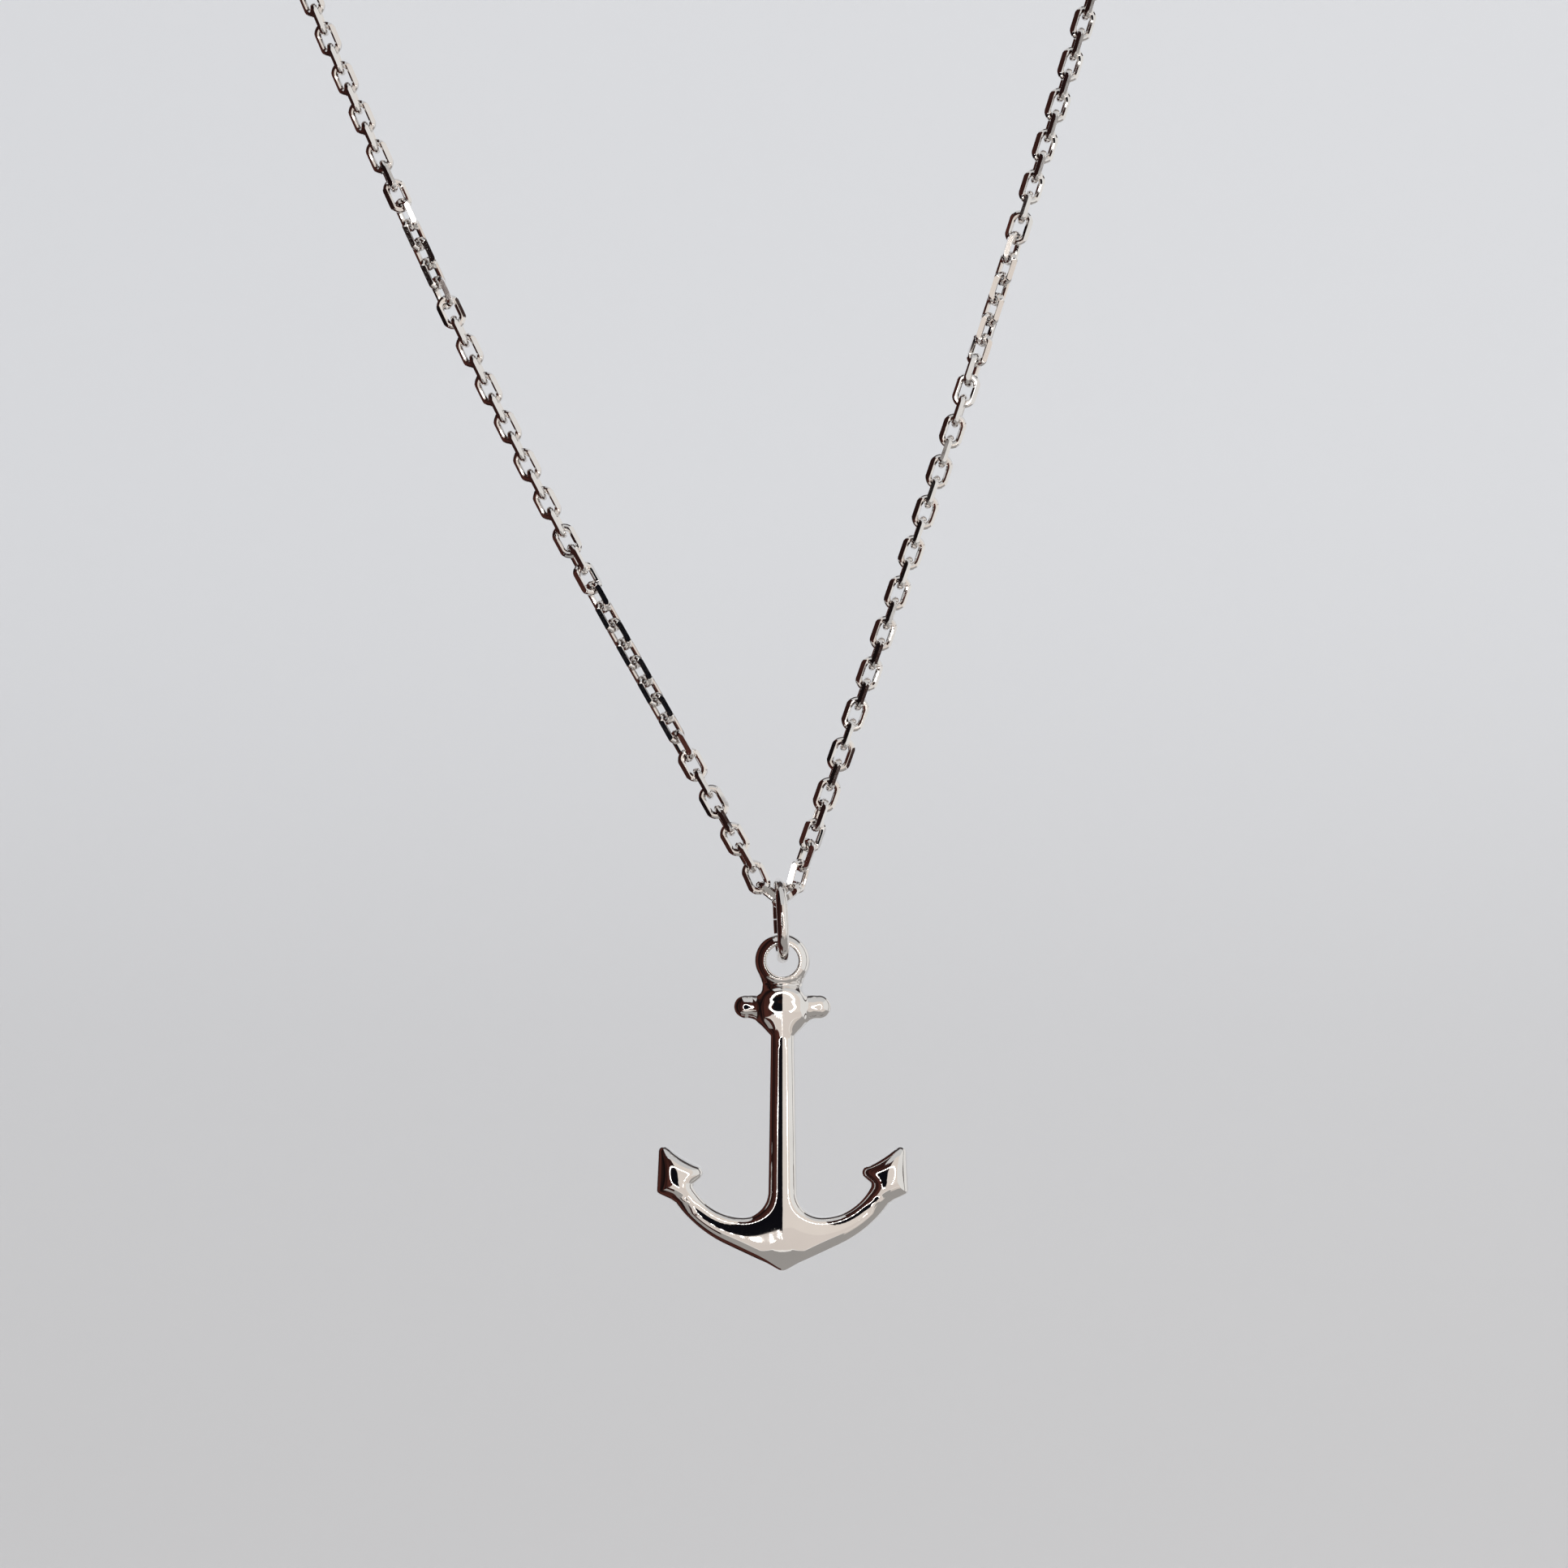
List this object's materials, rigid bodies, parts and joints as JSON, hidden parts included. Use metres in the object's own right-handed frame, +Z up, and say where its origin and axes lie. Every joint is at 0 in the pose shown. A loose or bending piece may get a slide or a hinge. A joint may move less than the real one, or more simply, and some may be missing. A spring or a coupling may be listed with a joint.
{
  "type": "anchor pendant necklace",
  "caption": "Fine oval cable chain worn round a neck, with a jump ring that carries a polished anchor pendant swinging freely at the bottom of its V.",
  "frame": {"origin": "middle of the clasp's inner face at the nape, where the necklace sits on the neck", "axes": "+Z up, the anchor hangs below; the front of the anchor faces -Y and the neck passes through the loop along Z"},
  "size_m": [0.102, 0.0911, 0.1509],
  "materials": {
    "anchor_metal": "mirror polished silver",
    "chain_metal": "bright silver wire, diamond cut"
  },
  "bodies": {
    "chain": {"chain_front": "chain_metal", "chain_back": "chain_metal", "clasp": "chain_metal"},
    "ring": {"jump_ring": "chain_metal"},
    "pendant": {"anchor": "anchor_metal"}
  },
  "joints": [
    {"name": "ring_swing", "type": "hinge", "parent": "chain", "child": "ring", "pos_m": [0.0065, -0.087, -0.126], "axis": [1, 0, 0], "range_deg": [-40, 40]},
    {"name": "anchor_swing", "type": "hinge", "parent": "ring", "child": "pendant", "pos_m": [0.00676, -0.087, -0.12947], "axis": [0, 1, 0], "range_deg": [-75, 75]}
  ]
}
